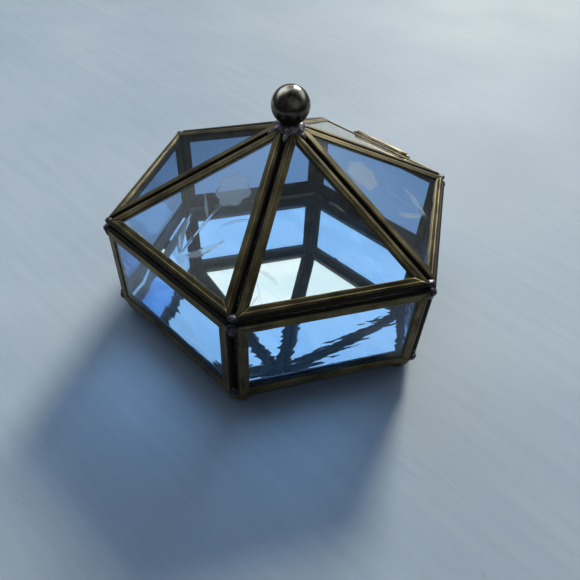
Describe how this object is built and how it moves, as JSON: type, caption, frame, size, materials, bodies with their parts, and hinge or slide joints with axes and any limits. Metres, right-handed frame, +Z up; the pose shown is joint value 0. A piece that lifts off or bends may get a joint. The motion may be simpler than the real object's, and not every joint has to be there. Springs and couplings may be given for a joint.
{
  "type": "glass casket box",
  "caption": "Hexagonal keepsake casket of glass panes in aged brass channel, with a hinged pyramid lid, ball knob, mirror floor and ball feet.",
  "frame": {"origin": "on the surface the feet stand on, at the axis of the hexagon, taken at the middle of the bounding box in X and Y", "axes": "+Z up along the axis of the hexagon; X through two opposite corners; +Y towards the hinge side"},
  "size_m": [0.1332, 0.117, 0.086],
  "materials": {
    "frame_brass": "aged brass with a dark olive-brown patina, worn lighter on the edges",
    "side_glass": "blue wavy hand-made sheet glass",
    "lid_glass": "clear sheet glass, three panes wheel-cut with a flower",
    "mirror": "silvered glass, face up",
    "solder": "dull lead-grey solder",
    "knob_brass": "dark polished bronze colour"
  },
  "bodies": {
    "base": {"side_frame_1": "frame_brass", "side_frame_2": "frame_brass", "side_frame_3": "frame_brass", "side_frame_4": "frame_brass", "side_frame_5": "frame_brass", "side_frame_6": "frame_brass", "side_glass_1": "side_glass", "side_glass_2": "side_glass", "side_glass_3": "side_glass", "side_glass_4": "side_glass", "side_glass_5": "side_glass", "side_glass_6": "side_glass", "floor_mirror": "mirror", "floor_sheet": "frame_brass", "floor_strip_1": "frame_brass", "floor_strip_2": "frame_brass", "floor_strip_3": "frame_brass", "floor_strip_4": "frame_brass", "floor_strip_5": "frame_brass", "floor_strip_6": "frame_brass", "foot_1": "frame_brass", "foot_2": "frame_brass", "foot_3": "frame_brass", "foot_4": "frame_brass", "foot_5": "frame_brass", "foot_6": "frame_brass", "top_corner_solder": "solder", "foot_corner_solder": "solder", "hinge_rod": "frame_brass", "hinge_leg_solder": "solder"},
    "lid": {"lid_frame_1": "frame_brass", "lid_frame_2": "frame_brass", "lid_frame_3": "frame_brass", "lid_frame_4": "frame_brass", "lid_frame_5": "frame_brass", "lid_frame_6": "frame_brass", "lid_glass_1": "lid_glass", "lid_glass_2": "lid_glass", "lid_glass_3": "lid_glass", "lid_glass_4": "lid_glass", "lid_glass_5": "lid_glass", "lid_glass_6": "lid_glass", "lid_corner_solder": "solder", "knob": "knob_brass", "knob_solder": "solder", "hinge_tube": "frame_brass", "hinge_tube_solder": "solder"}
  },
  "joints": [
    {"name": "lid_hinge", "type": "hinge", "parent": "base", "child": "lid", "pos_m": [0, 0.05778, 0.0435], "axis": [-1, 0, 0], "range_deg": [0, 110]}
  ]
}
